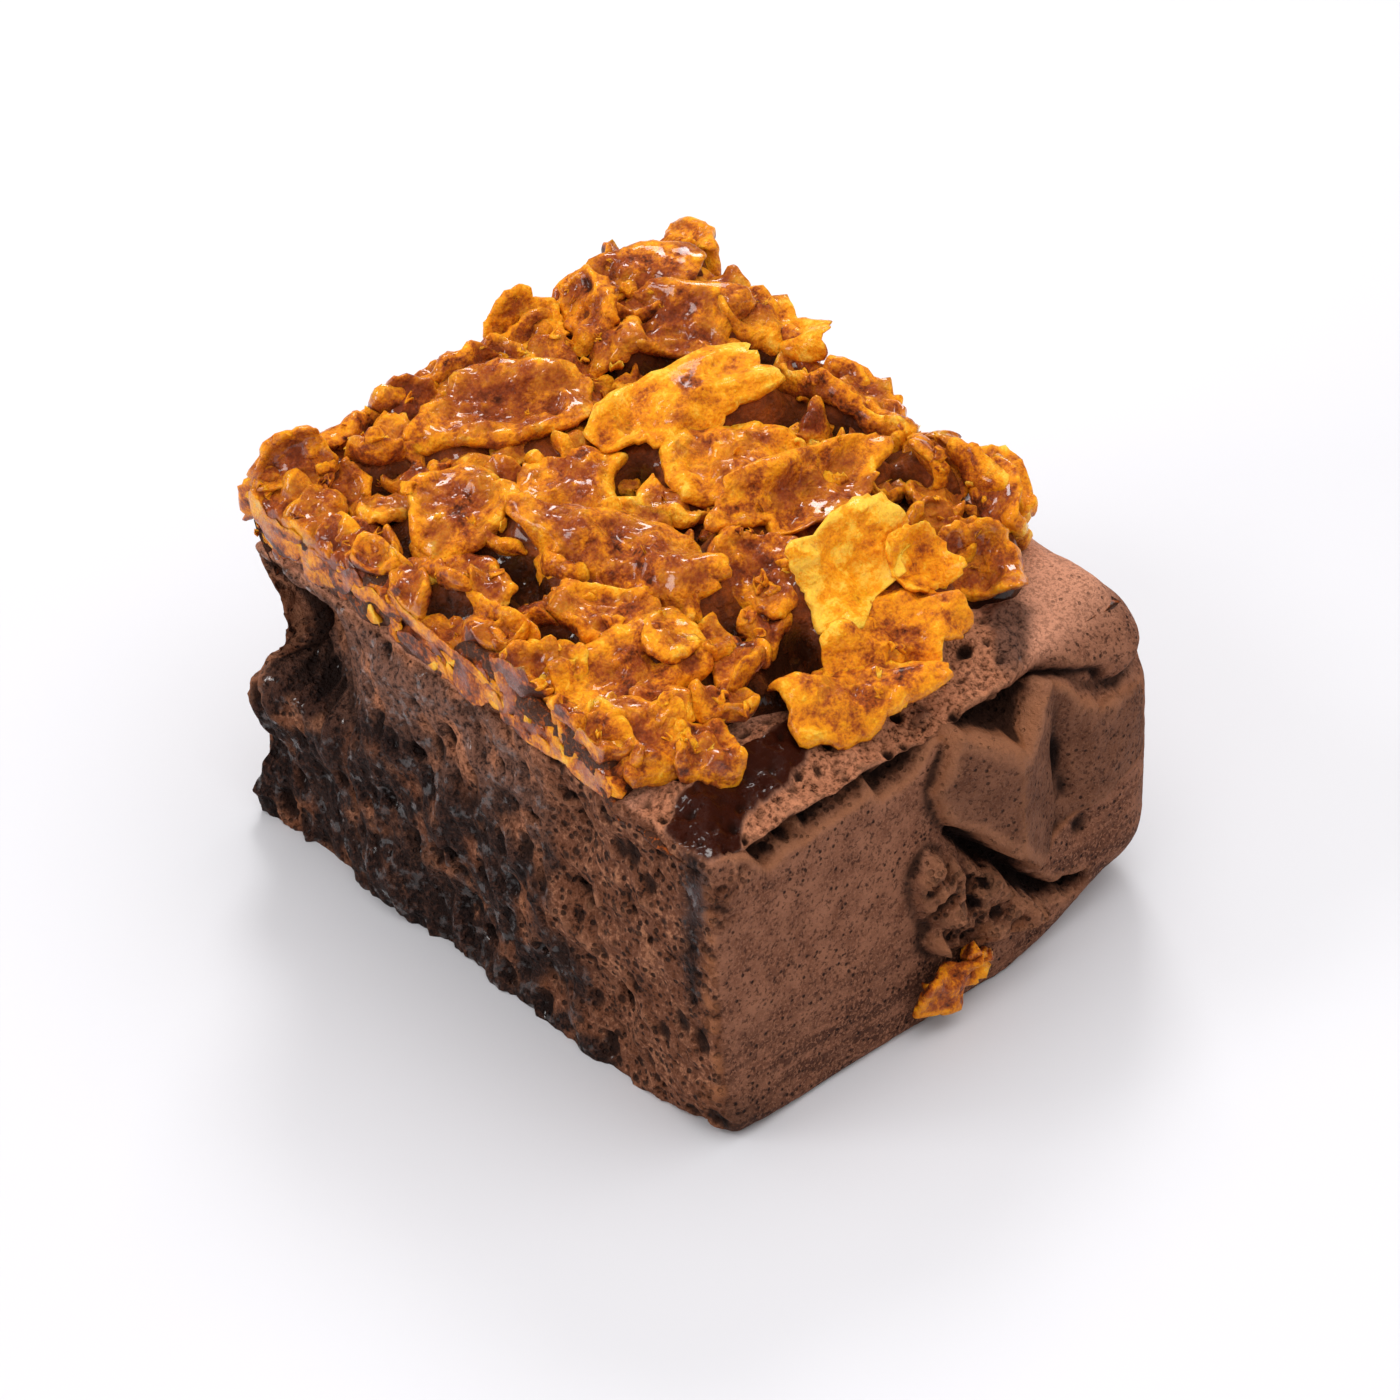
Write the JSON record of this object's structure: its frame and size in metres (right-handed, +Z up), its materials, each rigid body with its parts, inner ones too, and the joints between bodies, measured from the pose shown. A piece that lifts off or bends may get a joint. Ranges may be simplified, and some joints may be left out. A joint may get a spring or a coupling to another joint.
{
  "type": "chocolate brownie",
  "caption": "Corner piece of tray-baked chocolate brownie with a round crust corner, crumbly cut faces and a heap of caramel cornflakes on top.",
  "frame": {"origin": "centre of the flat base on which the piece stands", "axes": "+Z up, -Y towards the long crust side, +X towards the crust side round the corner, -X and +Y towards the cut faces"},
  "size_m": [0.0633, 0.072, 0.048],
  "materials": {
    "chocolate_cake": "matte baked crust with fine pores, rough damp crumb on the cut faces",
    "caramel_cornflake": "glossy amber caramel over toasted golden flakes",
    "stuck_cornflake": "satin toasted golden flake"
  },
  "bodies": {
    "root": {"brownie": "chocolate_cake", "cornflake_topping": "caramel_cornflake", "stuck_flake": "stuck_cornflake"}
  },
  "joints": []
}
